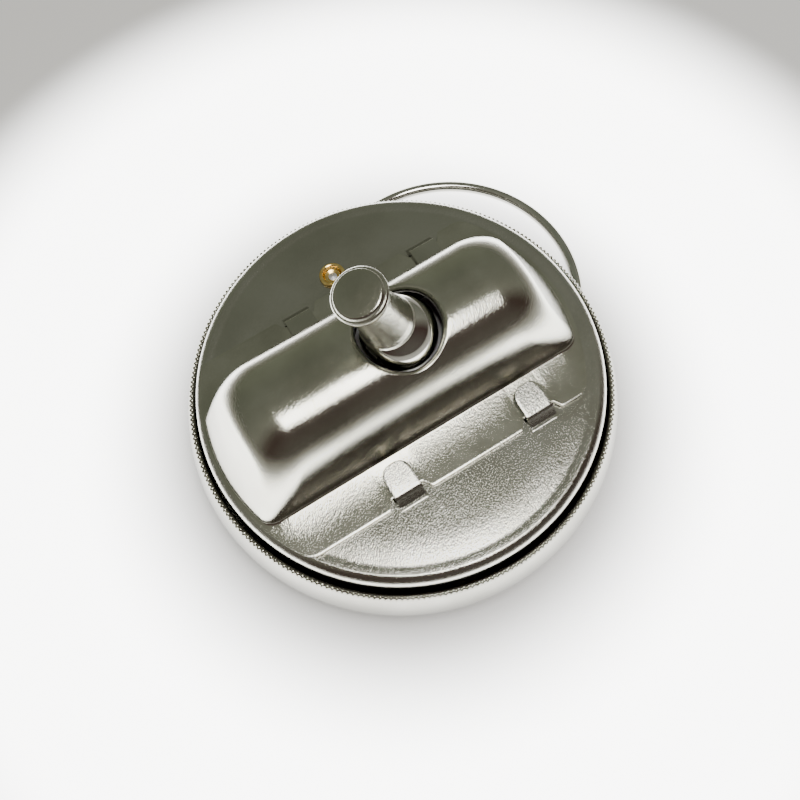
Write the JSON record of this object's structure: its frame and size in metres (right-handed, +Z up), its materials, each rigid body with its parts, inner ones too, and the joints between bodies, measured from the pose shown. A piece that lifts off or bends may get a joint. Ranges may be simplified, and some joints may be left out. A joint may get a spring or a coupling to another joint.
{
  "type": "hand demagnetizer",
  "caption": "Round plated hand demagnetizer: thumb lever on a pillow-shaped cover, rack and gear train spinning a bar magnet inside a drawn pan, wire finger ring below.",
  "frame": {"origin": "on the table under the axis of the round housing, at the middle of the strap's flat underside", "axes": "+Z up along the housing's axis; +X along the long cover, away from the side that the thumb lever leans to at rest; +Y towards the brass bush"},
  "size_m": [0.061, 0.0578, 0.0404],
  "materials": {
    "polished_nickel": "polished nickel plate, slightly warm, with fine grain",
    "satin_nickel": "satin nickel plate with a sparkling grain",
    "brass": "bare turned and pressed brass",
    "machined_steel": "bare machined steel",
    "spring_steel": "oil-tempered spring wire",
    "magnet_alloy": "ground magnet alloy"
  },
  "bodies": {
    "housing": {"base_pan": "polished_nickel", "top_plate": "satin_nickel", "bar_cover": "polished_nickel", "upper_bush": "brass", "lower_bush": "brass", "train_bridge": "brass", "center_post": "machined_steel", "post_washer": "brass", "post_clip": "spring_steel", "pinion_washer": "brass", "pillar_1": "brass", "spacer_1": "brass", "base_screw_1": "machined_steel", "pillar_2": "brass", "spacer_2": "brass", "base_screw_2": "machined_steel", "pillar_3": "brass", "spacer_3": "brass", "base_screw_3": "machined_steel", "rack_guide_1": "machined_steel", "rack_guide_2": "machined_steel", "return_spring": "spring_steel", "spring_stop": "machined_steel", "lever_bracket": "machined_steel", "bracket_rivet_1": "brass", "bracket_rivet_2": "brass", "ball_seat": "machined_steel", "ring_bail": "polished_nickel", "bail_rivet_1": "machined_steel", "bail_rivet_2": "machined_steel"},
    "lever": {"thumb_lever": "polished_nickel", "lever_ball": "polished_nickel", "lever_arm": "machined_steel"},
    "rack": {"rack_slide": "machined_steel"},
    "pinion": {"drive_pinion": "machined_steel", "wheel_collar": "machined_steel"},
    "first": {"first_wheel": "brass", "clutch_spring": "spring_steel"},
    "intermediate": {"intermediate_arbor": "machined_steel", "intermediate_pinion": "machined_steel", "intermediate_wheel": "brass"},
    "rotor": {"rotor_hub": "brass", "rotor_pinion": "brass", "magnet_carrier": "brass", "bar_magnet": "magnet_alloy"},
    "ring": {"finger_ring": "polished_nickel"}
  },
  "joints": [
    {"name": "lever_tilt", "type": "hinge", "parent": "housing", "child": "lever", "pos_m": [0.00065, 0, 0.0262], "axis": [0, 1, 0], "range_deg": [0, 31], "stiffness_Nm_per_rad": 0.03, "springref_deg": -20.05},
    {"name": "rack_travel", "type": "slide", "parent": "housing", "child": "rack", "axis": [1, 0, 0], "range_m": [-0.0044, 0], "deforming": ["return_spring"]},
    {"name": "pinion_turn", "type": "hinge", "parent": "housing", "child": "pinion", "pos_m": [0, 0, 0.0158], "axis": [0, 0, 1], "range_deg": [-72, 0]},
    {"name": "rotor_spin", "type": "hinge", "parent": "housing", "child": "rotor", "pos_m": [0, 0, 0.0064], "axis": [0, 0, 1], "continuous": true},
    {"name": "intermediate_spin", "type": "hinge", "parent": "housing", "child": "intermediate", "pos_m": [0, 0.016, 0.0112], "axis": [0, 0, 1], "continuous": true},
    {"name": "first_wheel_spin", "type": "hinge", "parent": "housing", "child": "first", "pos_m": [0, 0, 0.013], "axis": [0, 0, 1], "continuous": true},
    {"name": "ring_swing", "type": "hinge", "parent": "housing", "child": "ring", "pos_m": [0.00035, 0.00028, 0.00155], "axis": [-0.6157, 0.788, 0], "range_deg": [0, 176]}
  ],
  "couplings": [
    {"joint": "rack_travel", "follows": "lever_tilt", "m_per_rad": -0.0079028},
    {"joint": "pinion_turn", "follows": "lever_tilt", "ratio": -2.2579},
    {"joint": "intermediate_spin", "follows": "rotor_spin", "ratio": -0.72973},
    {"joint": "first_wheel_spin", "follows": "rotor_spin", "ratio": 0.20432}
  ]
}
